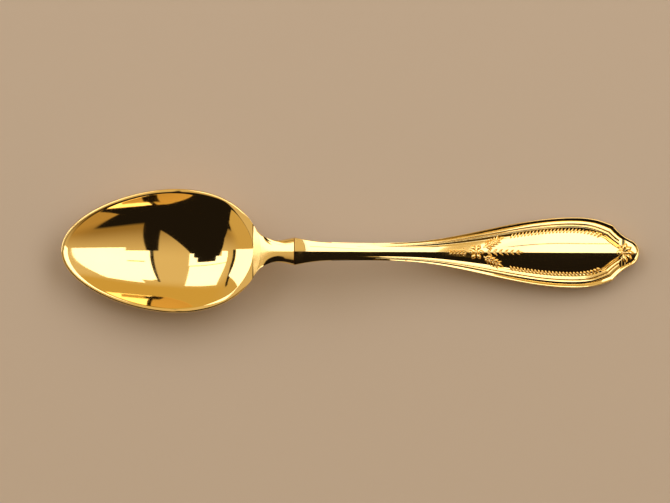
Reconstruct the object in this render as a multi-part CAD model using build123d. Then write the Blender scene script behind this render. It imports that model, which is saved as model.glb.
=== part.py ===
from build123d import *

import os
from math import atan2, ceil, cos, degrees, pi, sin

import numpy as np

# Gilt teaspoon with a threaded handle, a leaf chain round its panel, a flower spray and a shell end.
# X runs along the spoon from the bowl's tip to the handle's end, Y across it and Z up.
# The origin is on the table, under the middle of the spoon. All sizes are in millimetres.

# Whole spoon
overall_length = 140.0

# Bowl
bowl_length = 48.3
bowl_width = 30.0
bowl_depth = 7.4
bowl_wall = 1.3
bowl_lean = 0.16  # how far the widest place lies towards the heel, as a share of half the length
bowl_point = -0.05  # below zero, the tip and the heel are more pointed than an ellipse
bowl_flatness = 0.2  # share of the hollow's rise that comes late, near the rim
rim_land = 0.9  # flat width of the rim
rim_edge = 0.8  # height of the rim's outer edge
rim_tilt = 1.0  # degrees by which the heel stands higher than the tip

# Neck, from the bowl's heel to the shoulder
neck_length = 8.1
neck_root = 4.0  # how far the neck's metal reaches in under the bowl before the bowl trims it
neck_width = 5.3
neck_waist_from_heel = 3.6
neck_rise = 1.6  # height gained from the heel to the neck's waist
neck_thickness = 2.4
flare_reach = 2.2  # how far from the heel, along the bowl, the neck's side curves leave the rim
flare_slope = 1.7  # steepness in plan with which they leave it

# Handle, seen from above. Places are measured from the shoulder or from the handle's end.
shoulder_width = 6.8
taper_width = 5.3
taper_from_shoulder = 4.0
stem_width = 4.3
stem_from_shoulder = 13.1
flare_width = 5.8
flare_from_end = 50.8
middle_width = 11.8
middle_from_end = 35.5
panel_width = 17.2
panel_from_end = 15.7
brow_width = 15.8
brow_from_end = 9.7
corner_width = 13.4
corner_from_end = 6.4
tip_radius = 3.4
tip_turn = 65.0  # degrees of the round end, each side of the middle, before the hollow begins

# Handle, seen from the side: heights of its top above the table, and thicknesses
shoulder_height = 12.8
shoulder_thickness = 3.0
ramp_length = 2.7
ramp_rise = 0.02
stem_height = 11.6
stem_thickness = 2.6
middle_height = 7.4
middle_thickness = 2.2
panel_height = 4.75
panel_thickness = 2.0
end_thickness = 2.6
crown_neck = 0.3  # how much higher the middle of the top is than its edges
crown_stem = 0.5
crown_panel = 0.9

# Relief on the handle: widths of its bands from the edge inwards, at the panel, and heights above the blank
edge_wire_width = 0.55
groove_width = 0.45
inner_thread_width = 0.85
thread_gap = 0.15
fine_thread_width = 0.4
cove_width = 1.0
chain_strip_width = 0.35
border_share_stem = 0.4  # the bands narrow to this share along the stem
border_share_flare = 0.55
border_share_middle = 0.85
corner_draw_back = 0.6  # how far a corner moves towards the bowl, as a share of its inset
edge_wire_height = 0.35
inner_thread_height = 0.45
fine_thread_height = 0.3
thread_start_from_shoulder = 5.0
thread_end_from_end = 4.6
relief_gap = 0.1  # bare metal left between one raised piece and the next

# Leaf chain round the panel
chain_height = 0.35
chain_from_corner = 0.3
chain_run = 23.0
chain_leaf_pitch = 0.86
chain_leaf_length = 1.05
chain_leaf_width = 0.5

# Flower spray at the panel's narrow end
spray_height = 0.4
flower_from_end = 39.6
flower_petals = 6
flower_petal_length = 1.75
flower_petal_width = 1.2
flower_eye_radius = 0.55
leaf_lean = 34.0  # degrees between a leaf and the line that it grows from
sprig_rib_width = 0.3
sprig_leaf_length = 1.9
sprig_leaf_width = 0.75
sprig_pitch = 1.35
stem_sprig_pairs = 3
centre_sprig_pairs = 6
side_sprig_leaves = 2
side_sprig_angle = 26.0
side_sprig_start = 3.4  # distance from the flower's middle

# Shell and bead on the round end
shell_height = 0.6
shell_lobes = 5
shell_spread = 124.0  # degrees from the first lobe's middle to the last one's
shell_lobe_length = 3.0
shell_lobe_width = 1.25
shell_root_from_end = 4.1
bead_radius = 0.7
bead_height = 0.5

ABOVE = 40.0  # taller than the spoon, for prisms that are trimmed later
BAR_OVERRUN = 1.0  # the bar's surfaces reach this far past its outline
FIT = 0.001  # how closely a smooth surface follows the points that it is made from
SLIT = 0.01  # width of the narrow cut that measures the bowl

tip_x = -overall_length / 2
end_x = overall_length / 2


# Bowl: an egg in plan, hollowed by a rounded surface and bounded by a like one below

EGG_POINTS = 24
DISH_STEPS = 18
DISH_REACH = 1.15  # the surfaces run this far past the rim, so that the outline trims them


def egg_point(length, width, s, q):
    """A point in plan: s is -1 at the tip and 1 at the heel, q is -1 and 1 at the widest place."""
    bulge = 1 - s * s
    return length / 2 * (s + bowl_lean * bulge + bowl_point * s * bulge), width / 2 * q


def egg_face():
    turns = [2 * pi * i / EGG_POINTS for i in range(EGG_POINTS)]
    points = [egg_point(bowl_length, bowl_width, -cos(t), sin(t)) for t in turns]
    return make_face(Spline(points, periodic=True))


def above_dish(length, width, brim, depth):
    """Everything above a rounded dish of that depth, whose brim lies at height brim."""
    steps = [DISH_REACH * (2 * i / DISH_STEPS - 1) for i in range(DISH_STEPS + 1)]
    rows = []
    for s in steps:
        row = []
        for q in steps:
            r = s * s + q * q
            rise = (1 - bowl_flatness) * r + bowl_flatness * r * r
            row.append((*egg_point(length, width, s, q), brim - depth * (1 - rise)))
        rows.append(row)
    dish = Face.make_surface_from_array_of_points(rows, tol=FIT)
    return extrude(dish, amount=ABOVE, dir=(0, 0, 1))


outline = egg_face()
below_rim = extrude(outline, amount=-ABOVE)
outside = above_dish(bowl_length, bowl_width, -rim_edge, bowl_depth + bowl_wall - rim_edge)
inside = above_dish(bowl_length - 2 * rim_land, bowl_width - 2 * rim_land, 0, bowl_depth)
level_bowl = (below_rim & outside) - inside

# The bowl is tilted, stood on the table and pushed along until its tip is at the spoon's end
tilt = Rot(0, -rim_tilt, 0)
tilted_box = (tilt * level_bowl).bounding_box()
bowl_place = Pos(tip_x - tilted_box.min.X, 0, -tilted_box.min.Z) * tilt
bowl = bowl_place * level_bowl
bowl_room = bowl_place * (extrude(outline, amount=ABOVE, both=True) & outside)


def rim_point(from_heel):
    """A point of the rim's plane on the middle line, that far in from the heel."""
    return (bowl_place * Pos(bowl_length / 2 - from_heel, 0, 0)).position


# The bars that the neck and the handle are cut from: a top that is crowned across, and a flat foot

BAR_STEP = 1.4
ACROSS_STEPS = 10

heel = rim_point(0)
root = rim_point(neck_root)
shoulder_x = heel.X + neck_length
stem_x = shoulder_x + stem_from_shoulder
flare_x = end_x - flare_from_end
middle_x = end_x - middle_from_end
panel_x = end_x - panel_from_end
brow_x = end_x - brow_from_end
corner_x = end_x - corner_from_end


def smooth_curve(points):
    """A function of x: the natural cubic spline through the points."""
    xs, ys = np.array(points, float).T
    gaps, steps = np.diff(xs), np.diff(ys)
    count = len(xs)
    matrix, right = np.eye(count), np.zeros(count)
    for i in range(1, count - 1):
        matrix[i, i - 1 : i + 2] = gaps[i - 1], 2 * (gaps[i - 1] + gaps[i]), gaps[i]
        right[i] = 6 * (steps[i] / gaps[i] - steps[i - 1] / gaps[i - 1])
    bends = np.linalg.solve(matrix, right)

    def at(x):
        i = int(np.clip(np.searchsorted(xs, x) - 1, 0, count - 2))
        before, after = (xs[i + 1] - x) / gaps[i], (x - xs[i]) / gaps[i]
        curl = (before**3 - before) * bends[i] + (after**3 - after) * bends[i + 1]
        return float(before * ys[i] + after * ys[i + 1] + curl * gaps[i] ** 2 / 6)

    return at


# Each station: place along the spoon, width, height of the top, thickness, and crown across that width
shoulder = (shoulder_x, shoulder_width, shoulder_height, shoulder_thickness, crown_stem)
neck_stations = [
    (root.X, bowl_width / 2, root.Z, neck_thickness, 0),
    (heel.X, bowl_width / 3, heel.Z, neck_thickness, crown_neck),
    (heel.X + neck_waist_from_heel, neck_width, heel.Z + neck_rise, neck_thickness, crown_neck),
    shoulder,
]
handle_stations = [
    shoulder,
    (shoulder_x + ramp_length, taper_width, shoulder_height + ramp_rise, shoulder_thickness, crown_stem),
    (stem_x, stem_width, stem_height, stem_thickness, crown_stem),
    (middle_x, middle_width, middle_height, middle_thickness, crown_panel),
    (panel_x, panel_width, panel_height, panel_thickness, crown_panel),
    (end_x, panel_width, end_thickness, end_thickness, crown_panel),
]


def above_sheet(start, finish, height, bend):
    """Everything above a sheet along a bar, of that height on the middle line and that bend across."""
    half = panel_width / 2 + BAR_OVERRUN
    steps = ceil((finish - start) / BAR_STEP)
    rows = []
    for i in range(steps + 1):
        x = start + (finish - start) * i / steps
        across = [half * (2 * j / ACROSS_STEPS - 1) for j in range(ACROSS_STEPS + 1)]
        rows.append([(x, y, height(x) - bend(x) * y * y) for y in across])
    sheet = Face.make_surface_from_array_of_points(rows, tol=FIT)
    return extrude(sheet, amount=ABOVE, dir=(0, 0, 1))


def bar(stations):
    """Everything above a bar's top and everything above its foot."""
    start, finish = stations[0][0] - BAR_OVERRUN, stations[-1][0] + BAR_OVERRUN
    top = smooth_curve([(x, top) for x, width, top, thickness, crown in stations])
    foot = smooth_curve([(x, top - thickness) for x, width, top, thickness, crown in stations])
    bend = smooth_curve([(x, crown / (width / 2) ** 2) for x, width, top, thickness, crown in stations])
    return above_sheet(start, finish, top, bend), above_sheet(start, finish, foot, lambda x: 0)


above_neck, above_neck_foot = bar(neck_stations)
above_handle, above_handle_foot = bar(handle_stations)


# Outlines in plan


def both_sides(half_outline):
    """A face from the edges of its half with positive Y, which start and end on the middle line."""
    return make_face([*half_outline, *[edge.mirror(Plane.XZ) for edge in half_outline]])


def flank(inset):
    """One long side of the handle, moved in by inset at the panel and by less along the stem."""
    stem_inset = inset * border_share_stem
    return Spline(
        (shoulder_x, shoulder_width / 2 - stem_inset),
        (shoulder_x + taper_from_shoulder, taper_width / 2 - stem_inset),
        (stem_x, stem_width / 2 - stem_inset),
        (flare_x, flare_width / 2 - inset * border_share_flare),
        (middle_x, middle_width / 2 - inset * border_share_middle),
        (panel_x, panel_width / 2 - inset),
        (brow_x - inset * corner_draw_back, brow_width / 2 - inset),
        (corner_x - inset * corner_draw_back, corner_width / 2 - inset),
    )


def handle_face(inset):
    """The handle's outline moved in by inset: its flanks, the hollows behind the end and the round end."""
    side = flank(inset)
    radius = tip_radius - inset
    centre_x = end_x - tip_radius
    tip = CenterArc((centre_x, 0), radius, 0, tip_turn)
    hollow = TangentArc(tip @ 1, side @ 1, tangent=tip % 1)
    butt = Line((shoulder_x, 0), side @ 0)
    return both_sides([butt, side, hollow, tip])


def neck_face():
    leave = (heel.X - flare_reach, egg_half_width(flare_reach))
    side = Spline(
        leave,
        (heel.X + neck_waist_from_heel, neck_width / 2),
        (shoulder_x, shoulder_width / 2),
        tangents=[(1, -flare_slope), (1, 0)],
    )
    butt = Line(side @ 1, (shoulder_x, 0))
    under_bowl = Polyline((root.X, 0), (root.X, leave[1]), leave)
    return both_sides([*under_bowl.edges(), side, butt])


def egg_half_width(from_heel):
    """Half the bowl's width, that far from its heel."""
    cut = outline & Pos(bowl_length / 2 - from_heel, 0, 0) * Rectangle(SLIT, 2 * bowl_width)
    return cut.bounding_box().max.Y


# Neck and handle blank


def prism(face):
    """A tall block on an outline in plan, whose ends stay clear of every surface that trims it."""
    return extrude(face, amount=ABOVE / 2, both=True)


neck = (prism(neck_face()) & above_neck_foot) - above_neck - bowl_room
handle_blank = (prism(handle_face(0)) & above_handle_foot) - above_handle


# Wires and threads along the handle's edge


def relief(face, height):
    """A slab of that height on the handle's top, inside an outline in plan."""
    return (prism(face) & above_handle) - Pos(0, 0, height) * above_handle


def window(start, finish, low, high):
    """A rectangle in plan, from its limits along X and Y."""
    return Pos((start + finish) / 2, (low + high) / 2) * Rectangle(finish - start, high - low)


def mirrored(piece):
    return mirror(piece, about=Plane.XZ)


thread_start_x = shoulder_x + thread_start_from_shoulder
thread_end_x = end_x - thread_end_from_end
inner_thread_inset = edge_wire_width + groove_width
fine_thread_inset = inner_thread_inset + inner_thread_width + thread_gap
field_inset = fine_thread_inset + fine_thread_width
chain_inset = field_inset + cove_width

both_flanks = window(thread_start_x, end_x + BAR_OVERRUN, -panel_width, panel_width)
left_flank = window(thread_start_x, thread_end_x, 0, panel_width)


def band(inset, width):
    return handle_face(inset) - handle_face(inset + width)


edge_wire = relief(band(0, edge_wire_width) & both_flanks, edge_wire_height)
inner_thread_left = relief(band(inner_thread_inset, inner_thread_width) & left_flank, inner_thread_height)
fine_thread_left = relief(band(fine_thread_inset, fine_thread_width) & left_flank, fine_thread_height)


# Leaves, which make up the chain and the sprigs


def leaf(length, width):
    """A pointed leaf along X, rooted at the origin."""
    upper = ThreePointArc((0, 0), (length / 2, width / 2), (length, 0))
    return make_face([upper, upper.mirror(Plane.XZ)])


def chain_plan():
    """A narrow strip beside the cove, with slanted leaves along its outer edge."""
    outer, inner = flank(chain_inset), flank(chain_inset + chain_strip_width)
    strip = make_face([outer, Line(outer @ 1, inner @ 1), inner, Line(inner @ 0, outer @ 0)])
    last = outer.length - chain_from_corner
    start_x = outer.position_at(last - chain_run, PositionMode.LENGTH).X
    finish_x = outer.position_at(last, PositionMode.LENGTH).X
    plan = strip & window(start_x, finish_x, 0, panel_width)
    one = leaf(chain_leaf_length, chain_leaf_width)
    for i in range(1, int(chain_run / chain_leaf_pitch)):
        along = last - i * chain_leaf_pitch
        place = outer.position_at(along, PositionMode.LENGTH)
        heading = outer.tangent_at(along, PositionMode.LENGTH)
        turn = degrees(atan2(heading.Y, heading.X)) + leaf_lean
        plan += Pos(place.X, place.Y - chain_strip_width / 2) * Rot(0, 0, turn) * one
    return plan


def sprig(pairs, sides):
    """A rib along X with leaves on the given sides, and one more leaf at its end."""
    rib_length = pairs * sprig_pitch
    plan = Pos(rib_length / 2, 0) * Rectangle(rib_length, sprig_rib_width)
    one = leaf(sprig_leaf_length, sprig_leaf_width)
    for i in range(pairs):
        for side in sides:
            plan += Pos((i + 0.5) * sprig_pitch, 0) * Rot(0, 0, side * leaf_lean) * one
    return plan + Pos(rib_length - sprig_rib_width, 0) * one


field = handle_face(field_inset + relief_gap)
leaf_chain_left = relief(chain_plan() & field, chain_height)


# Flower spray

flower_place = Pos(end_x - flower_from_end, 0)
sprig_start = flower_petal_length + relief_gap

petal = leaf(flower_petal_length, flower_petal_width)
flower_plan = Circle(flower_eye_radius)
for i in range(flower_petals):
    flower_plan += Rot(0, 0, 360 * i / flower_petals) * petal
stem_plan = Pos(-sprig_start, 0) * Rot(0, 0, 180) * sprig(stem_sprig_pairs, (1, -1))
centre_plan = Pos(sprig_start, 0) * sprig(centre_sprig_pairs, (1, -1))
side_plan = Rot(0, 0, side_sprig_angle) * Pos(side_sprig_start, 0) * sprig(side_sprig_leaves, (1,))

flower = relief(flower_place * flower_plan & field, spray_height)
stem_sprig = relief(flower_place * stem_plan & field, spray_height)
centre_sprig = relief(flower_place * centre_plan & field, spray_height)
side_sprig_left = relief(flower_place * side_plan & field, spray_height) - centre_sprig - leaf_chain_left


# Shell and bead on the round end

shell_root_x = end_x - shell_root_from_end
tip_field = handle_face(edge_wire_width + relief_gap) & window(thread_end_x, end_x, -panel_width, panel_width)

lobe = leaf(shell_lobe_length, shell_lobe_width)
lobe_turns = [shell_spread * (i / (shell_lobes - 1) - 0.5) for i in range(shell_lobes)]
shell_plan = Sketch() + [Rot(0, 0, turn) * lobe for turn in lobe_turns]
tip_shell = relief(Pos(shell_root_x, 0) * shell_plan & tip_field, shell_height)
tip_bead = relief(Pos(shell_root_x - bead_radius - relief_gap, 0) * Circle(bead_radius), bead_height)


# One file for each piece

pieces = {
    "bowl": bowl,
    "neck": neck,
    "handle_blank": handle_blank,
    "edge_wire": edge_wire,
    "inner_thread_left": inner_thread_left,
    "inner_thread_right": mirrored(inner_thread_left),
    "fine_thread_left": fine_thread_left,
    "fine_thread_right": mirrored(fine_thread_left),
    "leaf_chain_left": leaf_chain_left,
    "leaf_chain_right": mirrored(leaf_chain_left),
    "flower": flower,
    "stem_sprig": stem_sprig,
    "centre_sprig": centre_sprig,
    "side_sprig_left": side_sprig_left,
    "side_sprig_right": mirrored(side_sprig_left),
    "tip_shell": tip_shell,
    "tip_bead": tip_bead,
}

os.makedirs("parts", exist_ok=True)
for name, piece in pieces.items():
    export_step(piece, f"parts/{name}.step")
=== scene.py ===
from math import atan2, cos, pi, radians, sin

import bmesh
import bpy
import numpy as np
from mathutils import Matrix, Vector


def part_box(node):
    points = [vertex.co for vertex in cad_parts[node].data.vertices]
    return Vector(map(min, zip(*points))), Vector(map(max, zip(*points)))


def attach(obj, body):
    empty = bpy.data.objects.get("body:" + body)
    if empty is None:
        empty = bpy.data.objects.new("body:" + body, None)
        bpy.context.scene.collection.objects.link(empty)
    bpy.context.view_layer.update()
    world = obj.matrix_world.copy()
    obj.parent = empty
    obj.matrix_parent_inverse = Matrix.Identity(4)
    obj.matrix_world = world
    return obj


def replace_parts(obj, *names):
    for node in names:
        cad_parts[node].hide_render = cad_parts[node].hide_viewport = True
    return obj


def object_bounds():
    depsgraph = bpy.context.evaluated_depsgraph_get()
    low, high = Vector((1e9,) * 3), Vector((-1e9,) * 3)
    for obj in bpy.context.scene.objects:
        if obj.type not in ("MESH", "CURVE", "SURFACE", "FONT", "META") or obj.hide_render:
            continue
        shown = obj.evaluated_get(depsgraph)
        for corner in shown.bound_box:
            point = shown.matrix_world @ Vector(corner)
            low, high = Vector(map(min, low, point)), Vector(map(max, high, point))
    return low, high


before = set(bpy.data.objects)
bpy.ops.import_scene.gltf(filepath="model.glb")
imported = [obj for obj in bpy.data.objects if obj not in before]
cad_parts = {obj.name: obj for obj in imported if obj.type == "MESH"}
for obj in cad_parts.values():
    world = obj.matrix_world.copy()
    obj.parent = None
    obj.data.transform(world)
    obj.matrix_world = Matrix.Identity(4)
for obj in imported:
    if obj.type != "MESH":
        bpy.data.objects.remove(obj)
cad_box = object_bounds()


# Bowl
# An egg-shaped dish, raised from sheet metal, then gold-plated and polished until it mirrors the room.
# Its rim is a narrow rounded land, which dips towards the heel and climbs there into the neck.

MM = 0.001


def box_mm(node):
    """The lowest and highest corner of a node of the frame, in millimetres."""
    low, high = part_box(node)
    return np.array(low) / MM, np.array(high) / MM


def smooth_step(low, high, value):
    """0 below low, 1 above high, and a smooth rise between them."""
    share = np.clip((value - low) / (high - low), 0, 1)
    return share * share * (3 - 2 * share)


def smooth_min(first, second, reach):
    """The lower of two heights, rounded where they meet."""
    share = np.clip(0.5 + 0.5 * (second - first) / reach, 0, 1)
    return second + (first - second) * share - reach * share * (1 - share)


class Node:
    """A socket of a node tree, on which the operators add maths nodes."""

    def __init__(self, tree, socket):
        self.tree = tree
        self.socket = socket

    def add(self, kind, settings=None, output=0, **inputs):
        """Another node in the tree: its settings are made first, then its sockets, by name or as i0, i1."""
        node = self.tree.nodes.new(kind)
        for name, value in (settings or {}).items():
            setattr(node, name, value)
        for name, value in inputs.items():
            key = int(name[1:]) if name[0] == "i" and name[1:].isdigit() else name.replace("_", " ")
            if isinstance(value, Node):
                self.tree.links.new(value.socket, node.inputs[key])
            else:
                node.inputs[key].default_value = value
        return Node(self.tree, node.outputs[output])

    def maths(self, operation, *values):
        inputs = {f"i{place}": value for place, value in enumerate(values)}
        return self.add("ShaderNodeMath", {"operation": operation}, **inputs)

    def __add__(self, other):
        return self.maths("ADD", self, other)

    def __sub__(self, other):
        return self.maths("SUBTRACT", self, other)

    def __rsub__(self, other):
        return self.maths("SUBTRACT", other, self)

    def __mul__(self, other):
        return self.maths("MULTIPLY", self, other)

    def __truediv__(self, other):
        return self.maths("DIVIDE", self, other)

    __radd__ = __add__
    __rmul__ = __mul__

    def above(self, other):
        return self.maths("MAXIMUM", self, other)

    def rise(self, low, high):
        """0 where the value is below low, 1 where it is above high, and smooth between."""
        settings = {"interpolation_type": "SMOOTHSTEP"}
        return self.add("ShaderNodeMapRange", settings, Value=self, From_Min=low, From_Max=high)

    def colours(self, first, second):
        """The first colour where the value is 0, the second where it is 1."""
        return self.add("ShaderNodeMix", {"data_type": "RGBA"}, output=2, i0=self, i6=first, i7=second)


def new_material(name):
    """A material with only a Principled shader, and that shader."""
    material = bpy.data.materials.new(name)
    material.use_nodes = True
    return material, material.node_tree.nodes["Principled BSDF"]


def feed(tree, value, shader, socket):
    """Links a value to a socket of the shader."""
    tree.links.new(value.socket, shader.inputs[socket])


yellow_gold = (1.0, 0.765, 0.36, 1)
red_gold = (0.98, 0.72, 0.31, 1)
least_roughness = 0.025
rubbed_roughness = 0.05


def gilt_material():
    """Gold plate, with faint clouds of redder gold, a polish that varies and the wheel's slight waviness."""
    material, shader = new_material("gilt")
    tree = material.node_tree
    shader.inputs["Metallic"].default_value = 1.0
    place = Node(tree, tree.nodes.new("ShaderNodeTexCoord").outputs["Object"])
    clouds = place.add("ShaderNodeTexNoise", Vector=place, Scale=90.0, Detail=3.0, Roughness=0.5)
    feed(tree, clouds.colours(yellow_gold, red_gold), shader, "Base Color")
    rub = place.add("ShaderNodeTexNoise", Vector=place, Scale=700.0, Detail=4.0, Roughness=0.6)
    feed(tree, least_roughness + rubbed_roughness * rub, shader, "Roughness")
    waves = place.add("ShaderNodeTexNoise", Vector=place, Scale=160.0, Detail=1.0)
    bump = place.add("ShaderNodeBump", Strength=0.05, Distance=0.0001, Height=waves)
    feed(tree, bump, shader, "Normal")
    return material


gilt = gilt_material()


def grid_faces(rows, columns, start=0, closed=False):
    """Quads between the points of a grid, which are numbered row by row."""
    faces = []
    for row in range(rows - 1):
        for column in range(columns if closed else columns - 1):
            here = start + row * columns + column
            beside = start + row * columns + (column + 1) % columns
            faces.append((here, beside, beside + columns, here + columns))
    return faces


crease = radians(50.0)
weld = 0.0001


def piece(name, points, faces, *nodes):
    """A smooth gilt mesh that stands for nodes of the frame. Its points are in millimetres."""
    mesh = bpy.data.meshes.new(name)
    mesh.from_pydata([tuple(point) for point in np.asarray(points) * MM], [], faces)
    shell = bmesh.new()
    shell.from_mesh(mesh)
    bmesh.ops.remove_doubles(shell, verts=shell.verts, dist=MM * weld)
    bmesh.ops.recalc_face_normals(shell, faces=shell.faces)
    shell.to_mesh(mesh)
    shell.free()
    mesh.shade_smooth()
    mesh.set_sharp_from_angle(angle=crease)
    mesh.materials.append(gilt)
    body = bpy.data.objects.new(name, mesh)
    bpy.context.scene.collection.objects.link(body)
    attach(body, "root")
    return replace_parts(body, *nodes)


bowl_low, bowl_high = box_mm("bowl")
bowl_length = 48.3
bowl_width = bowl_high[1] - bowl_low[1]
bowl_depth = 7.4
bowl_wall = 1.3
bowl_lean = 0.16
bowl_point = -0.05
bowl_flatness = 0.12
rim_land = 0.9
rim_edge = 0.8
rim_round = 0.4
rim_tilt = radians(1.0)
rim_dip = 0.85
rim_lift = 0.3
dip_round = 0.02
dip_power = 6
lip_soft = 0.35
lip_crisp = 0.01
lip_share = 0.84
edge_least = 0.02
heel_slope = 0.45
heel_dense = 0.7
AROUND = 224
DISH_RINGS = 40
LIP_RINGS = 70
RIM_RINGS = 18

# Zones along the bowl, in shares of its half length, from -1 at the point to 1 at the heel
dip_zone = (-0.1, 0.5)
lift_start_zone = (-1.0, -0.7)
lift_end_zone = (-0.2, 0.1)
hollow_zone = (0.55, 0.95)
crisp_zone = (0.5, 0.85)
neck_zone = (0.76, 0.86)

even_turns = 2 * pi * np.arange(AROUND) / AROUND
turns = even_turns + heel_dense * np.sin(even_turns)
ring_along = -np.cos(turns)
ring_across = np.sin(turns)
lifted = smooth_step(*lift_start_zone, ring_along) * (1 - smooth_step(*lift_end_zone, ring_along))
flank_dip = rim_dip * smooth_step(*dip_zone, ring_along) - rim_lift * lifted
hollow_dip = flank_dip * (1 - smooth_step(*hollow_zone, ring_along))
lip_round = lip_soft + (lip_crisp - lip_soft) * smooth_step(*crisp_zone, ring_along)
edge_round = rim_round * (1 - smooth_step(*neck_zone, ring_along)) + edge_least


def egg(length, width, along, across):
    """Places of the bowl's plan, an egg made from the unit circle."""
    bulge = 1 - along**2
    return length / 2 * (along + bowl_lean * bulge + bowl_point * along * bulge), width / 2 * across


def dish(reach, brim, depth):
    """Height of a rounded dish at a share of its way from the middle to the brim."""
    rise = (1 - bowl_flatness) * reach**2 + bowl_flatness * reach**4
    return brim - depth * (1 - rise)


inner_length = bowl_length - 2 * rim_land
inner_width = bowl_width - 2 * rim_land
under_depth = bowl_depth + bowl_wall - rim_edge
inner_x, inner_y = egg(inner_length, inner_width, ring_along, ring_across)
outer_x, outer_y = egg(bowl_length, bowl_width, ring_along, ring_across)
half_reach = np.hypot(inner_length / 2 * ring_along, inner_width / 2 * ring_across)


def brim(x):
    """Height of the rim, which dips along the heel's flanks and climbs with the neck's slope at its end."""
    return -smooth_min(heel_slope * (bowl_length / 2 - x), flank_dip, dip_round)


# Rings from the middle of the hollow to the rim, over its edge, and back under the bowl to the middle
rings = []
dish_shares = np.linspace(0, lip_share, DISH_RINGS + 1)[1:]
lip_shares = np.linspace(lip_share, 1, LIP_RINGS + 1)[1:]
for share in np.concatenate([dish_shares, lip_shares]):
    x, y = egg(inner_length, inner_width, share * ring_along, share * ring_across)
    hollow = dish(share, 0, bowl_depth) - hollow_dip * share**dip_power
    rings.append((x, y, smooth_min(hollow, brim(x), lip_round)))
for share in np.sin(np.linspace(0, pi / 2, RIM_RINGS + 1))[1:]:
    reach = 1 + share * rim_land / half_reach
    x, y = inner_x + share * (outer_x - inner_x), inner_y + share * (outer_y - inner_y)
    hollow = dish(reach, 0, bowl_depth) - hollow_dip * reach**dip_power
    height = smooth_min(hollow, brim(x), lip_round)
    over = np.clip((share * rim_land - rim_land + edge_round) / edge_round, 0, 1)
    height = height - edge_round * (1 - np.sqrt(1 - over**2))
    rings.append((x, y, height))
for share in (0.5, 1.0):
    rings.append((outer_x, outer_y, brim(outer_x) - edge_round - share * (rim_edge - edge_round)))
for share in np.cos(np.linspace(0, pi / 2, DISH_RINGS + 1))[1:-1]:
    x, y = egg(bowl_length, bowl_width, share * ring_along, share * ring_across)
    rings.append((x, y, dish(share, -rim_edge, under_depth) + brim(outer_x) * share**dip_power))

ring_points = np.array([np.stack(np.broadcast_arrays(*ring), 1) for ring in rings]).reshape(-1, 3)
pole_x = egg(bowl_length, bowl_width, 0, 0)[0]
level = np.vstack([ring_points, (pole_x, 0, -bowl_depth), (pole_x, 0, dish(0, -rim_edge, under_depth))])


tilt_cos = cos(rim_tilt)
tilt_sin = sin(rim_tilt)


def tilted(points):
    """Points of the level bowl, turned by the rim's tilt."""
    x, y, z = points.T
    return np.stack([tilt_cos * x - tilt_sin * z, y, tilt_sin * x + tilt_cos * z], 1)


bowl_shift = bowl_low - tilted(level).min(0)
bowl_shift[1] = 0
bowl_points = tilted(level) + bowl_shift
bowl_faces = grid_faces(len(rings), AROUND, closed=True)
inner_pole, outer_pole = len(level) - 2, len(level) - 1
last_ring = (len(rings) - 1) * AROUND
for i in range(AROUND):
    following = (i + 1) % AROUND
    bowl_faces.append((i, following, inner_pole))
    bowl_faces.append((last_ring + following, last_ring + i, outer_pole))
piece("spoon_bowl", bowl_points, bowl_faces, "bowl")


# Neck
# The waisted bar between bowl and handle, forged rounder than the handle and soldered to the bowl's heel.
# It flares where it meets the bowl, and swells to the shoulder, where a fine line marks the joint.

heel_x, heel_z = (tilted(np.array([[bowl_length / 2, 0, 0]])) + bowl_shift)[0, [0, 2]]
shoulder_x = box_mm("handle_blank")[0][0]
end_x = box_mm("handle_blank")[1][0]
neck_thickness = 2.4
flare_thickness = 0.9
neck_roundness = 2.6
joint_soft = 0.1
joint_drop = 0.3
seam_reach = 4.0
seam_depth = 3.0
root_inset = 1.0
root_depth = 0.8
flare_run = 4.0
flare_thinning = 2
waist_run = 3.6
waist_half = 2.65
shoulder_top = 12.66
shoulder_thickness = 3.0
shoulder_half = 3.4
NECK_STEPS = 60
NECK_AROUND = 72
SOLVE_STEPS = 12
SEAM_STEPS = 40


def smooth_curve(points):
    """A function of x: the natural cubic spline through the points."""
    xs, ys = np.array(points, float).T
    gaps, steps = np.diff(xs), np.diff(ys)
    count = len(xs)
    matrix, right = np.eye(count), np.zeros(count)
    for i in range(1, count - 1):
        matrix[i, i - 1 : i + 2] = gaps[i - 1], 2 * (gaps[i - 1] + gaps[i]), gaps[i]
        right[i] = 6 * (steps[i] / gaps[i] - steps[i - 1] / gaps[i - 1])
    bends = np.linalg.solve(matrix, right)

    def at(x):
        i = np.clip(np.searchsorted(xs, x) - 1, 0, count - 2)
        before, after = (xs[i + 1] - x) / gaps[i], (x - xs[i]) / gaps[i]
        curl = (before**3 - before) * bends[i] + (after**3 - after) * bends[i + 1]
        return before * ys[i] + after * ys[i + 1] + curl * gaps[i] ** 2 / 6

    return at


# Stations along the neck: place, height of the top, thickness
neck_side = [
    (heel_x - flare_run, heel_z - flare_run * heel_slope, flare_thickness),
    (heel_x, heel_z, neck_thickness),
    (heel_x + waist_run, heel_z + waist_run * heel_slope, neck_thickness),
    (shoulder_x, shoulder_top, shoulder_thickness),
]
neck_top = smooth_curve([(x, top) for x, top, thickness in neck_side])
neck_foot = smooth_curve([(x, top - thickness) for x, top, thickness in neck_side])
# Stations along the neck: place, half width
neck_half = smooth_curve([
    (heel_x - flare_run, 9.3),
    (heel_x - 2.2, 7.0),
    (heel_x - 0.75, 4.75),
    (heel_x + 0.75, 3.55),
    (heel_x + waist_run, waist_half),
    (heel_x + 6.2, 2.95),
    (shoulder_x, shoulder_half),
])


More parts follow.
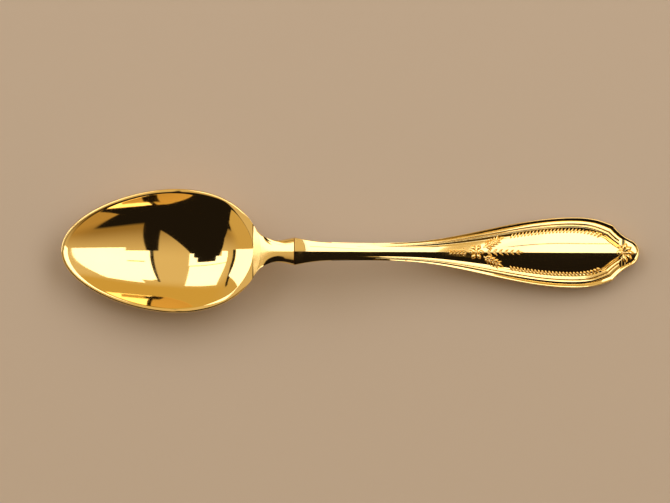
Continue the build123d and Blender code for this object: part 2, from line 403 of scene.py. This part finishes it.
def in_bowl(x, y, z):
    """Whether a point lies inside the bowl's outline and above its underside."""
    x, z = x - bowl_shift[0], z - bowl_shift[2]
    level_x, level_z = tilt_cos * x + tilt_sin * z, tilt_cos * z - tilt_sin * x
    target = level_x / (bowl_length / 2)
    along = target.copy()
    for _ in range(SOLVE_STEPS):
        bulge = 1 - along**2
        miss = along + bowl_lean * bulge + bowl_point * along * bulge - target
        along -= miss / (1 - 2 * bowl_lean * along + bowl_point * (1 - 3 * along**2))
    reach = np.hypot(along, y / (bowl_width / 2))
    heel_rim_x = egg(bowl_length, bowl_width, along / reach, 0)[0]
    dip = smooth_min(heel_slope * (bowl_length / 2 - heel_rim_x), rim_dip, dip_round)
    return (reach < 1) & (level_z > dish(reach, -rim_edge, under_depth) - dip * reach**dip_power)


around = 2 * pi * np.arange(NECK_AROUND) / NECK_AROUND
section_y = np.sign(np.cos(around)) * np.abs(np.cos(around)) ** (2 / neck_roundness)
section_z = np.sign(np.sin(around)) * np.abs(np.sin(around)) ** (2 / neck_roundness)

round_start_x = heel_x + 0.2
round_full_x = heel_x + 6.0
flare_full_x = heel_x - 1.0
flare_end_x = heel_x + 3.0


def neck_point(x):
    """Points of the neck's surface, one for each place around its section."""
    rounded = smooth_step(round_start_x, round_full_x, x)
    flared = 1 - smooth_step(flare_full_x, flare_end_x, x)
    thickness = neck_top(x) - neck_foot(x)
    flat_drop = thickness * np.maximum(0, -section_z) ** (1 + flare_thinning * flared)
    round_drop = thickness / 2 * (1 - section_z)
    ease = np.clip(1 - (shoulder_x - x) / joint_soft, 0, 1)
    y = section_y * (neck_half(x) - joint_drop * ease)
    z = neck_top(x) - flat_drop - rounded * (round_drop - flat_drop)
    return x, y, z - joint_drop * ease * section_z


# The seam: for each place around the neck, halving finds where it comes out of the bowl
inside_x = np.full(NECK_AROUND, heel_x - seam_depth)
outside_x = np.full(NECK_AROUND, shoulder_x)
for _ in range(SEAM_STEPS):
    trial = (inside_x + outside_x) / 2
    within = in_bowl(*neck_point(trial))
    inside_x = np.where(within, trial, inside_x)
    outside_x = np.where(within, outside_x, trial)

# The neck's top is lifted to the rim along the seam, and a hidden root closes it inside the bowl's wall
heel_from = 0.3
top_side_zone = (-0.3, 0.5)
rim_first = (DISH_RINGS + LIP_RINGS + RIM_RINGS - 1) * AROUND
rim_near_heel = bowl_points[rim_first : rim_first + AROUND][ring_along > heel_from]
heel_rim = rim_near_heel[np.argsort(rim_near_heel[:, 1])]
seam_x, seam_y, seam_z = neck_point(outside_x)
top_side = smooth_step(*top_side_zone, section_z)
seam_step = (np.interp(seam_y, heel_rim[:, 1], heel_rim[:, 2]) - seam_z) * top_side
root = (heel_x - root_inset, 0, heel_z - root_inset * heel_slope - root_depth)
neck_shares = (1 - np.cos(np.linspace(0, pi, NECK_STEPS - 1))) / 2
neck_places = [seam_x + (shoulder_x - joint_soft - seam_x) * share for share in neck_shares]
neck_rows = [np.tile(root, (NECK_AROUND, 1))]
for place in [*neck_places, np.full(NECK_AROUND, shoulder_x)]:
    x, y, z = neck_point(place)
    z = z + seam_step * (1 - smooth_step(0, seam_reach, x - seam_x))
    neck_rows.append(np.stack([x, y, z], 1))
neck_points = np.array(neck_rows).reshape(-1, 3)
neck_faces = grid_faces(NECK_STEPS + 1, NECK_AROUND, closed=True)
neck_faces.append(tuple(range(NECK_STEPS * NECK_AROUND, (NECK_STEPS + 1) * NECK_AROUND)))
piece("spoon_neck", neck_points, neck_faces, "neck")


# Handle blank
# The forged and gilt bar of stem, panel and round end, which falls from the shoulder, soldered to the neck.
# Its sunk border carries the wires, a cove falls from it to the panel, and the panel swells to its middle.

tip_radius = 3.4
tip_turn = radians(65.0)
corner_draw_back = 0.6
corner_ease = 8
panel_inset = 3.4
collar_half = 2.65
stem_half = 2.15
middle_half = 5.9
widest_half = 8.6
stem_crown = 0.5
panel_crown = 0.9
FLANK_STEPS = 300
HOLLOW_STEPS = 30
TIP_STEPS = 30

stem_x = shoulder_x + 13.1
middle_x = end_x - 35.5
panel_x = end_x - 15.7
corner_x = end_x - 6.4
handle_fall = 0.121
end_top = 2.65
# Stations along the handle: place, height of the top, thickness
handle_side = [
    (shoulder_x, shoulder_top, shoulder_thickness),
    (shoulder_x + 1.3, shoulder_top - 0.122, 3.0),
    (shoulder_x + 2.6, shoulder_top - 0.246, 3.0),
    (shoulder_x + 4.6, shoulder_top - 0.506, 2.9),
    (stem_x, 10.99, 2.6),
    (middle_x - 18.0, 8.65, 2.4),
    (middle_x - 16.0, 8.425, 2.4),
    (middle_x - 2.5, 7.21, 2.2),
    (middle_x, end_top + handle_fall * (end_x - middle_x), 2.2),
    (panel_x, end_top + handle_fall * (end_x - panel_x), 2.0),
    (end_x, end_top, 2.6),
]
top_height = smooth_curve([(x, top) for x, top, thickness in handle_side])
foot_height = smooth_curve([(x, top - thickness) for x, top, thickness in handle_side])
# Stations along the handle: place, half width
half_width = smooth_curve([
    (shoulder_x, shoulder_half),
    (shoulder_x + 4.0, collar_half),
    (stem_x, stem_half),
    (end_x - 50.8, 2.9),
    (middle_x, middle_half),
    (panel_x, widest_half),
    (end_x - 9.7, 7.9),
    (corner_x, 6.7),
])
# Stations along the handle: place, share of the border's full width
border_share = smooth_curve([
    (shoulder_x, 0.3),
    (shoulder_x + 4.0, 0.3),
    (stem_x, 0.3),
    (end_x - 50.8, 0.42),
    (middle_x, 0.8),
    (panel_x, 1.0),
    (corner_x, 1.0),
])
# Stations along the handle: place, bend of the crown across it
crown_bend = smooth_curve([
    (shoulder_x, stem_crown / collar_half**2),
    (shoulder_x + 2.7, stem_crown / collar_half**2),
    (stem_x, stem_crown / stem_half**2),
    (middle_x, panel_crown / middle_half**2),
    (panel_x, panel_crown / widest_half**2),
    (end_x, panel_crown / widest_half**2),
])


def arc_to(start, heading, finish, steps):
    """Points of the arc that leaves start along heading and ends at finish."""
    side = np.array([-heading[1], heading[0]])
    chord = finish - start
    radius = chord @ chord / (2 * (chord @ side))
    centre = start + radius * side
    first = atan2(*(start - centre)[::-1])
    last = atan2(*(finish - centre)[::-1])
    sweep = (last - first + pi) % (2 * pi) - pi
    turn = first + sweep * np.linspace(0, 1, steps)
    return centre + abs(radius) * np.stack([np.cos(turn), np.sin(turn)], 1)


def half_outline(inset):
    """The handle's outline on its left side, moved in by inset: flank, hollow and round end."""
    last_x = corner_x - inset * corner_draw_back
    share = np.linspace(0, 1, FLANK_STEPS)
    share[1] = joint_soft / (last_x - shoulder_x)
    x = shoulder_x + (last_x - shoulder_x) * share
    flank_x = x + (corner_x - last_x) * share**corner_ease
    flank = np.stack([x, half_width(flank_x) - inset * border_share(flank_x)], 1)
    radius = tip_radius - inset
    centre = np.array([end_x - tip_radius, 0])
    turn = tip_turn * np.linspace(1, 0, TIP_STEPS)
    tip = centre + radius * np.stack([np.cos(turn), np.sin(turn)], 1)
    heading = np.array([-sin(tip_turn), cos(tip_turn)])
    hollow = arc_to(tip[0], heading, flank[-1], HOLLOW_STEPS)[::-1]
    return np.vstack([flank, hollow[1:-1], tip])


relief_start_x = shoulder_x + 9.0
relief_full_x = shoulder_x + 36.0


def relief_share(x):
    """How much of the relief's full height there is, along the handle."""
    return smooth_step(relief_start_x, relief_full_x, x) * border_share(np.minimum(x, corner_x))


def crown_height(x, y):
    """Height of the bar's rounded top, before its border and panel are sunk."""
    return top_height(x) - crown_bend(x) * y * y


edge_drop = 0.35
edge_soft = 0.5
border_drop = 0.25
cove_from = 2.4
cove_middle = 3.0
cove_depth = 0.75
cove_fade = 1.0
panel_outline = half_outline(panel_inset)


def panel_half(x):
    """Half of the panel's width."""
    return np.interp(x, panel_outline[:, 0], panel_outline[:, 1])


def cove_foot(x):
    """How deep the cove lies below the blank's crown."""
    return cove_depth * relief_share(x) * smooth_step(0, cove_fade, panel_half(x))


def sunk(x):
    """How deep the panel's edge lies. Where the panel narrows to its end, it keeps its bend across."""
    narrowed = np.where(x > panel_x, panel_half(x) / panel_half(panel_x), 1)
    return cove_foot(x) * narrowed**2


def joint_line(x):
    """The fine groove where the handle meets the neck."""
    return joint_drop * np.clip(1 - (x - shoulder_x) / joint_soft, 0, 1)


def border_height(inset, x, y):
    """Height of the border and the cove, at a place in from the edge."""
    drop = edge_drop * np.clip(1 - inset / edge_soft, 0, 1) ** 2
    level = np.minimum(border_drop * relief_share(x), cove_foot(x))
    cove = level + (sunk(x) - level) * smooth_step(cove_from, panel_inset, inset)
    trench = smooth_step(cove_from, cove_middle, inset) * (1 - smooth_step(cove_middle, panel_inset, inset))
    cove = cove + (cove_foot(x) - sunk(x)) * trench
    return crown_height(x, y) - drop - cove - joint_line(x)


def panel_height(x, y, share):
    """Height of the panel at a share of its way from the middle line to its edge."""
    return crown_height(x, y) - sunk(x) * share**2 - joint_line(x)


# Columns of the mesh, by their places in from the edge: closest at the edge, under the wire and in the cove
border_insets = np.concatenate([
    np.linspace(0, edge_soft, 9),
    np.linspace(0.55, 1.2, 12),
    np.linspace(1.3, 2.3, 6),
    np.linspace(cove_from, panel_inset, 16),
])
panel_shares = np.linspace(1, 0, 26)[1:]
foot_insets = np.array([0.0, 0.05, 0.15, 0.3, 0.5, 0.8, 1.2, 1.7, 2.4, panel_inset])
foot_shares = np.linspace(1, 0, 8)[1:]
foot_lift = 0.6
foot_soft = 1.4
foot_power = 2.5

# From the middle of the underside, round the edge, to the middle of the top
columns = []
for share in foot_shares[::-1]:
    x, y = half_outline(panel_inset).T
    columns.append((x, y * share, foot_height(x)))
for inset in foot_insets[::-1]:
    x, y = half_outline(inset).T
    rise = foot_lift * np.clip(1 - inset / foot_soft, 0, 1) ** foot_power
    columns.append((x, y, foot_height(x) + rise))
for inset in border_insets:
    x, y = half_outline(inset).T
    columns.append((x, y, border_height(inset, x, y)))
for share in panel_shares:
    x, y = half_outline(panel_inset).T
    columns.append((x, y * share, panel_height(x, y * share, share)))

left_half = np.array([np.stack(column, 1) for column in columns]).transpose(1, 0, 2)
blank_steps, blank_across = left_half.shape[:2]
left_points = left_half.reshape(-1, 3)
right_points = left_points * (1, -1, 1)
blank_points = np.vstack([left_points, right_points])
blank_faces = grid_faces(blank_steps, blank_across)
blank_faces += grid_faces(blank_steps, blank_across, start=len(left_points))
left_end = tuple(range(blank_across))
right_end = tuple(range(len(left_points) + blank_across - 2, len(left_points), -1))
blank_faces.append(left_end + right_end)
piece("spoon_handle", blank_points, blank_faces, "handle_blank")


# Edge wire and threads
# Drawn wires, half round on top, laid along the handle's edge and soldered down. The outer one runs round
# the end in one piece. The wide and the fine thread inside it fade out on the stem and stop at the shell.

wire_base = -0.4
wire_sink = 0.03
wire_fade = 0.15


def wire(section, last_x=None):
    """A wire along the left side, from its section: places in from the edge, and heights."""
    rows = []
    first, last = section[0][0], section[-1][0]
    for inset, height in [*section, (last, wire_base), (first, wire_base)]:
        x, y = half_outline(inset).T
        relief = relief_share(x)
        fade = wire_sink * (1 - smooth_step(0, wire_fade, relief))
        rows.append(np.stack([x, y, crown_height(x, y) + height * relief - fade], 1))
    points = np.array(rows).transpose(1, 0, 2)
    kept = points[:, 0, 0] > relief_start_x
    if last_x is not None:
        kept &= points[:, 0, 0] < last_x
    return points[kept]


def capped_tube(rows):
    """Points and faces of a tube from its rings, closed at both ends."""
    steps, around = rows.shape[:2]
    faces = grid_faces(steps, around, closed=True)
    faces.append(tuple(range(around)))
    faces.append(tuple(range((steps - 1) * around, steps * around)))
    return rows.reshape(-1, 3), faces


# Sections of the wires: places in from the edge, and heights above the blank's crown
edge_section = [(0, -0.2), (0.03, 0.08), (0.07, 0.24), (0.13, 0.35), (0.2, 0.4), (0.27, 0.38), (0.38, 0.31),
                (0.58, 0.14), (0.78, -0.03), (0.94, -0.16)]
inner_section = [(0.96, -0.16), (1.02, -0.08), (1.12, -0.03), (1.3, -0.01), (1.5, -0.02), (1.7, -0.08),
                 (1.82, -0.15), (1.88, -0.24)]
fine_section = [(1.96, -0.22), (2.02, -0.15), (2.1, -0.12), (2.2, -0.13), (2.34, -0.2), (2.44, -0.28)]

left_rows = wire(edge_section)
edge_rows = np.vstack([left_rows, (left_rows * (1, -1, 1))[-2::-1]])
piece("spoon_edge_wire", *capped_tube(edge_rows), "edge_wire")

thread_end_x = end_x - 4.6
for node, section in (("inner_thread", inner_section), ("fine_thread", fine_section)):
    rows = wire(section, thread_end_x)
    piece(f"spoon_{node}_left", *capped_tube(rows), f"{node}_left")
    piece(f"spoon_{node}_right", *capped_tube(rows * (1, -1, 1)), f"{node}_right")


# Leaf chains
# Two cast strips of small leaves, slanted and side by side, soldered along the panel's long edges.
# Like all of the ornament they are solid gilt metal in low relief.

LEAF_ROWS = 10
LEAF_ACROSS = 7
sink = 0.12
chain_inset = panel_inset - 0.1
chain_pitch = 0.86
chain_slant = radians(52.0)
chain_leaf = 1.5
chain_start_gap = 0.3
chain_end_gap = 0.5
look_ahead = 0.2
least_half = 0.01


def blank_height(x, y):
    """Height of the blank's top at any place between shoulder and end."""
    half = np.maximum(panel_half(x), least_half)
    flank_x = np.minimum(x, corner_x)
    inset = np.clip((half_width(flank_x) - np.abs(y)) / border_share(flank_x), 0, panel_inset)
    share = np.minimum(np.abs(y) / half, 1)
    return np.where(np.abs(y) < half, panel_height(x, y, share), border_height(inset, x, y))


def on_blank(plan, lift):
    """Points over places of the plan, lifted above the blank's top."""
    x, y = plan[..., 0], plan[..., 1]
    return np.stack([x, y, blank_height(x, y) + lift], -1)


def heading_of(turn):
    """The direction of an angle in the plan."""
    return np.array([cos(turn), sin(turn)])


def leaf(base, turn, length, width, height, fullness=0.75):
    """A leaf that lies along a direction of the plan, pointed at both ends and raised along its middle."""
    swell = np.sin(pi * np.linspace(0, 1, LEAF_ROWS) ** fullness)
    across = np.concatenate([np.linspace(-1, 1, LEAF_ACROSS), (1, -1)])
    lifted = np.concatenate([1 - np.linspace(-1, 1, LEAF_ACROSS) ** 2, (0, 0)])
    below = np.concatenate([np.zeros(LEAF_ACROSS), (sink, sink)])
    along = np.linspace(0, length, LEAF_ROWS)
    sideways = (swell[:, None] * across * width / 2)[..., None] * heading_of(turn + pi / 2)
    plan = np.asarray(base) + along[:, None, None] * heading_of(turn) + sideways
    return on_blank(plan, swell[:, None] * lifted * height - below)


def mirrored(forms):
    """The same forms on the right side."""
    return [form * (1, -1, 1) for form in forms]


def ornament(node, forms):
    """One mesh of closed forms, each a grid whose rows are rings."""
    points, faces = [], []
    for form in forms:
        rows, around = form.shape[:2]
        faces += grid_faces(rows, around, start=len(points), closed=True)
        points += list(form.reshape(-1, 3))
    piece(f"spoon_{node}", points, faces, node)


chain_low, chain_high = box_mm("leaf_chain_left")
panel_edge = half_outline(chain_inset)
past_start = panel_edge[:, 0] > chain_low[0] + chain_start_gap
before_end = panel_edge[:, 0] < chain_high[0] - chain_end_gap
chain_x, chain_y = panel_edge[past_start & before_end].T
chain_run = np.concatenate([[0], np.cumsum(np.hypot(np.diff(chain_x), np.diff(chain_y)))])


def chain_place(run):
    """The place at a distance along the chain."""
    return np.array([np.interp(run, chain_run, chain_x), np.interp(run, chain_run, chain_y)])


chain = []
for run in np.arange(0, chain_run[-1], chain_pitch):
    onward = chain_place(run + look_ahead) - chain_place(run)
    turn = atan2(onward[1], onward[0]) + chain_slant
    base = chain_place(run) - chain_leaf / 2 * heading_of(turn)
    chain.append(leaf(base, turn, chain_leaf, width=0.6, height=0.45))
ornament("leaf_chain_left", chain)
ornament("leaf_chain_right", mirrored(chain))


# Flower
# A cast flower of six petals round a bead, soldered on where the stem widens into the panel.
# The sprigs spread from it.

KNOB_ROWS = 10
KNOB_AROUND = 20


def knob(place, radius, height):
    """A low round bead."""
    rise = np.linspace(-pi / 2, pi / 2, KNOB_ROWS)
    turn = 2 * pi * np.arange(KNOB_AROUND) / KNOB_AROUND
    ring = np.stack([np.cos(turn), np.sin(turn)], 1)
    plan = np.asarray(place) + radius * np.cos(rise)[:, None, None] * ring
    foot = blank_height(np.array(place[0]), np.array(place[1]))
    z = foot + np.where(rise > 0, height * np.sin(rise), sink * np.sin(rise))
    return np.concatenate([plan, np.broadcast_to(z[:, None, None], plan.shape[:2] + (1,))], 2)


petals = 6
petal_inset = 0.3
flower_low, flower_high = box_mm("flower")
flower_place = (flower_low + flower_high)[:2] / 2
flower_radius = (flower_high[0] - flower_low[0]) / 2
flower = [knob(flower_place, radius=0.5, height=0.75)]
for turn in 2 * pi * np.arange(petals) / petals:
    base = flower_place + petal_inset * heading_of(turn)
    flower.append(leaf(base, turn, flower_radius, width=1.15, height=0.5, fullness=1.2))
ornament("flower", flower)


# Sprigs
# Cast sprigs with pairs of leaves on a thin stalk: one back along the stem, with two curls at its foot,
# one along the middle of the panel, and one towards each leaf chain. All are soldered down.

STALK_AROUND = 10
STALK_STEPS = 12
CURL_STEPS = 22
stalk_thick = 0.2
stalk_thin = 0.12
stalk_lift = 0.6
curl_closing = 0.55
curl_thinning = 0.7
first_pair = 0.08
last_pair_gap = 1.2
stalk_end_gap = 0.6
leaf_shrink = 0.35
curl_setback = 1.2
curl_offset = 0.58
side_root_shift = (1.2, 0.2)
side_tip_shift = (0.1, 0.3)


def stalk(path, thick, thin):
    """A round stalk along places of the plan, which gets thinner towards its end."""
    path = np.asarray(path, float)
    heading = np.gradient(path, axis=0)
    heading /= np.hypot(*heading.T)[:, None]
    side = np.stack([-heading[:, 1], heading[:, 0]], 1)
    radius = np.linspace(thick, thin, len(path))
    turn = 2 * pi * np.arange(STALK_AROUND) / STALK_AROUND
    plan = path[:, None] + (radius[:, None] * np.cos(turn))[..., None] * side[:, None]
    rows = on_blank(plan, radius[:, None] * (stalk_lift + np.sin(turn)))
    middle = rows.mean(1, keepdims=True).repeat(STALK_AROUND, 1)
    return np.concatenate([middle[:1], rows, middle[-1:]])


def curl(place, radius, start, sweep, thick):
    """A stalk that curls round a place, and gets closer and thinner towards its end."""
    turn = np.linspace(start, start + sweep, CURL_STEPS)
    grow = np.linspace(1, curl_closing, CURL_STEPS)[:, None]
    path = place + radius * grow * np.stack([np.cos(turn), np.sin(turn)], 1)
    return stalk(path, thick, curl_thinning * thick)


def sprig(start, finish, pairs, length, width, height, spread):
    """A stalk with pairs of leaves, which get smaller towards its end, and a leaf at the end."""
    start, finish = np.array(start), np.array(finish)
    run = finish - start
    turn = atan2(run[1], run[0])
    stalk_end = finish - stalk_end_gap * length * heading_of(turn)
    last_pair = 1 - last_pair_gap * length / np.hypot(*run)
    forms = [stalk(np.linspace(start, stalk_end, STALK_STEPS), stalk_thick, stalk_thin)]
    for share in np.linspace(first_pair, last_pair, pairs):
        size = 1 - leaf_shrink * share
        for way in (-1, 1):
            forms.append(leaf(start + share * run, turn + way * spread, size * length, size * width, height))
    forms.append(leaf(finish - length * heading_of(turn), turn, length, width, height))
    return forms


stem_low, stem_high = box_mm("stem_sprig")
stem_sprig = sprig((stem_high[0], 0), (stem_low[0], 0),
                   pairs=5, length=1.5, width=0.65, height=0.4, spread=radians(38))
for way in (-1, 1):
    place = np.array([stem_high[0] - curl_setback, curl_offset * way])
    stem_sprig.append(curl(place, radius=0.46, start=-0.5 * pi * way, sweep=1.6 * pi * way, thick=0.13))
ornament("stem_sprig", stem_sprig)

centre_low, centre_high = box_mm("centre_sprig")
ornament("centre_sprig", sprig((centre_low[0], 0), (centre_high[0], 0),
                               pairs=6, length=1.6, width=0.65, height=0.4, spread=radians(35)))

side_low, side_high = box_mm("side_sprig_left")
side_sprig = sprig(side_low[:2] - side_root_shift, side_high[:2] - side_tip_shift,
                   pairs=4, length=2.0, width=0.8, height=0.42, spread=radians(42))
ornament("side_sprig_left", side_sprig)
ornament("side_sprig_right", mirrored(side_sprig))


# Bead and shell
# A small cast shell of five ribs that fan out to the round end, and a bead at the shell's root.
# Both are soldered onto the blank, where the threads stop.

shell_ribs = 5
rib_turn = radians(31.0)
rib_shortening = 0.12
shell_setback = 0.1

bead_low, bead_high = box_mm("tip_bead")
bead_radius = (bead_high[0] - bead_low[0]) / 2
ornament("tip_bead", [knob((bead_low + bead_high)[:2] / 2, bead_radius, height=0.55)])

shell_low, shell_high = box_mm("tip_shell")
shell_root = np.array([shell_low[0] - shell_setback, 0])
shell = []
for turn in rib_turn * (np.arange(shell_ribs) - (shell_ribs - 1) / 2):
    rib = (shell_high[0] - shell_low[0]) * (1 - rib_shortening * abs(turn))
    shell.append(leaf(shell_root, turn, rib, width=1.25, height=0.55, fullness=1.6))
ornament("tip_shell", shell)


# Floor
# A plain board under the spoon, painted pale and matt.

floor_half = 3.0
floor_roughness = 0.9
pale_paint = (0.59, 0.493, 0.42, 1)
floor_corners = [(floor_half * x, floor_half * y, 0) for x, y in ((-1, -1), (1, -1), (1, 1), (-1, 1))]
floor_mesh = bpy.data.meshes.new("floor")
floor_mesh.from_pydata(floor_corners, [], [(0, 1, 2, 3)])
floor = bpy.data.objects.new("floor", floor_mesh)
bpy.context.scene.collection.objects.link(floor)
floor_paint, floor_shader = new_material("floor_paint")
floor_shader.inputs["Base Color"].default_value = pale_paint
floor_shader.inputs["Roughness"].default_value = floor_roughness
floor_mesh.materials.append(floor_paint)


# Light
# Two large softboxes overhead, each made up of panels, and one low at the left. Warm walls stand round the
# spoon, and black cloth hangs between them.

light_height = 1.0
softbox_radiance = 1.7
bowl_x = -0.045


def softbox(name, middle, size, aim):
    """A rectangular lamp that the camera doesn't see. All have the same radiance."""
    lamp = bpy.data.lights.new(name, "AREA")
    lamp.shape = "RECTANGLE"
    lamp.size, lamp.size_y = size
    lamp.energy = softbox_radiance * pi * size[0] * size[1]
    holder = bpy.data.objects.new(name, lamp)
    holder.location = middle
    holder.rotation_euler = Vector(aim).to_track_quat("-Z", "Y").to_euler()
    holder.visible_camera = False
    bpy.context.scene.collection.objects.link(holder)


def overhead(name, left, right, near, far):
    """A softbox overhead, from the slopes at which the bowl sees its sides."""
    x = bowl_x + light_height * (left + right) / 2
    y = light_height * (near + far) / 2
    size = (light_height * (right - left), light_height * (far - near))
    softbox(name, (x, y, light_height), size, (0, 0, -1))


overhead("softbox_right", 0.5, 1.07, -0.11, 1.75)
overhead("softbox_right_far", 0.32, 0.5, 0.39, 1.42)
overhead("softbox_right_near", 0.32, 0.5, 0.0, 0.35)
overhead("softbox_right_edge", 0.26, 0.32, 0.0, 1.33)
overhead("softbox_left", -1.27, -0.24, 0.55, 1.9)
overhead("softbox_left_edge", -0.29, -0.22, 0.09, 0.515)
overhead("softbox_left_near", -0.36, -0.29, 0.23, 0.515)
overhead("softbox_left_middle", -0.8, -0.36, 0.4, 0.515)
overhead("softbox_left_side", -1.0, -0.8, 0.2, 0.515)
overhead("softbox_left_far", -1.27, -1.0, 0.0, 0.515)
softbox("softbox_low", middle=(-1.9, 0.7, 0.55), size=(1.6, 0.86), aim=(1, 0, 0))

# The room, as colours over the slopes of its directions: across and in depth for a unit of height
world = bpy.data.worlds.new("room")
bpy.context.scene.world = world
world.use_nodes = True
tree = world.node_tree
direction = Node(tree, tree.nodes.new("ShaderNodeTexCoord").outputs["Generated"])
split = direction.add("ShaderNodeSeparateXYZ", Vector=direction).socket.node
east, north, up = (Node(tree, split.outputs[i]) for i in range(3))
horizon = 0.06
high = up.above(horizon)
across_slope, depth_slope = east / high, north / high

shaded_front = (0.3, 0.18, 0.05, 1)
lit_front = (0.47, 0.28, 0.08, 1)
ceiling = (0.74, 0.57, 0.31, 1)
back_wall = (0.62, 0.41, 0.11, 1)
left_wall = (0.61, 0.42, 0.15, 1)
black_cloth = (0.012, 0.009, 0.007, 1)
front_wall = across_slope.rise(0.9, 1.5).colours(shaded_front, lit_front)
near_room = depth_slope.rise(-1.1, 0.3).colours(front_wall, ceiling)
right_room = depth_slope.rise(1.2, 2.5).colours(near_room, back_wall)
bright_room = across_slope.rise(-2.5, -1.2).colours(left_wall, right_room)


def band(slope, start, finish):
    """1 between two soft edges, which are given by where each starts and ends."""
    return slope.rise(*start) * (1 - slope.rise(*finish))


# Black cloth, at the slopes where the bowl sees it: a tent-shaped flag overhead, a leaning bar beside it,
# a low strip at the front, a leaning post at the left, and the edge of the right softbox's frame
flag_edge = (0.0, 0.04)
flag_right = depth_slope - 0.35 + 2.07 * (across_slope + 0.38)
flag_left = (0.46 + 2.5 * (across_slope + 0.81)).above(-0.28 + 1.4 * (across_slope + 1.01)) - depth_slope
flag_far = (0.39, 0.41)
flag = (1 - flag_right.rise(*flag_edge)) * flag_left.rise(*flag_edge) * (1 - depth_slope.rise(*flag_far))

bar_left = (0.165, 0.175)
bar_right = (0.29, 0.3)
bar_far = (-0.02, 0.02)
bar_lean = across_slope + 0.12 * depth_slope
bar = across_slope.rise(*bar_left) * (1 - bar_lean.rise(*bar_right)) * (1 - depth_slope.rise(*bar_far))

strip_far = (-1.4, -1.1)
strip_left = across_slope - 0.3 * depth_slope.above(-3.0)
strip_right = across_slope + 0.2 * depth_slope.above(-3.8)
strip = (1 - depth_slope.rise(*strip_far)) * strip_left.rise(-1.64, -1.54) * (1 - strip_right.rise(0.8, 0.9))

post_lean = across_slope + 0.25 * (depth_slope - 0.8).above(0.0)
post = band(post_lean, (-1.88, -1.86), (-1.66, -1.64)) * band(depth_slope, (-0.1, -0.05), (2.3, 2.5))
frame_edge = band(across_slope, (0.22, 0.225), (0.26, 0.265)) * band(depth_slope, (-0.12, -0.1), (1.5, 1.6))

dark = flag.above(bar).above(strip).above(post).above(frame_edge)
room = dark.colours(bright_room, black_cloth)
tree.links.new(room.socket, tree.nodes["Background"].inputs["Color"])


# Camera
# It looks straight down from above, turned by the small angle at which the spoon lies. The spoon's length,
# to the millimetre, gives the picture's scale.

image_width = 670
spoon_pixels = 579
spoon_left_pixel = 61
spoon_length = round(cad_box[1][0] - cad_box[0][0], 3)
camera_height = 3.0
aim_height = 0.008
roll = radians(0.26)
pixel = spoon_length / spoon_pixels
camera_data = bpy.data.cameras.new("camera")
camera_data.sensor_width = 36.0
camera_data.lens = camera_data.sensor_width * (camera_height - aim_height) / (image_width * pixel)
camera = bpy.data.objects.new("camera", camera_data)
camera.location = ((image_width / 2 - spoon_left_pixel - spoon_pixels / 2) * pixel, 0, camera_height)
camera.rotation_euler = (0, 0, roll)
bpy.context.scene.collection.objects.link(camera)
bpy.context.scene.camera = camera
bpy.context.scene.view_settings.view_transform = "Standard"
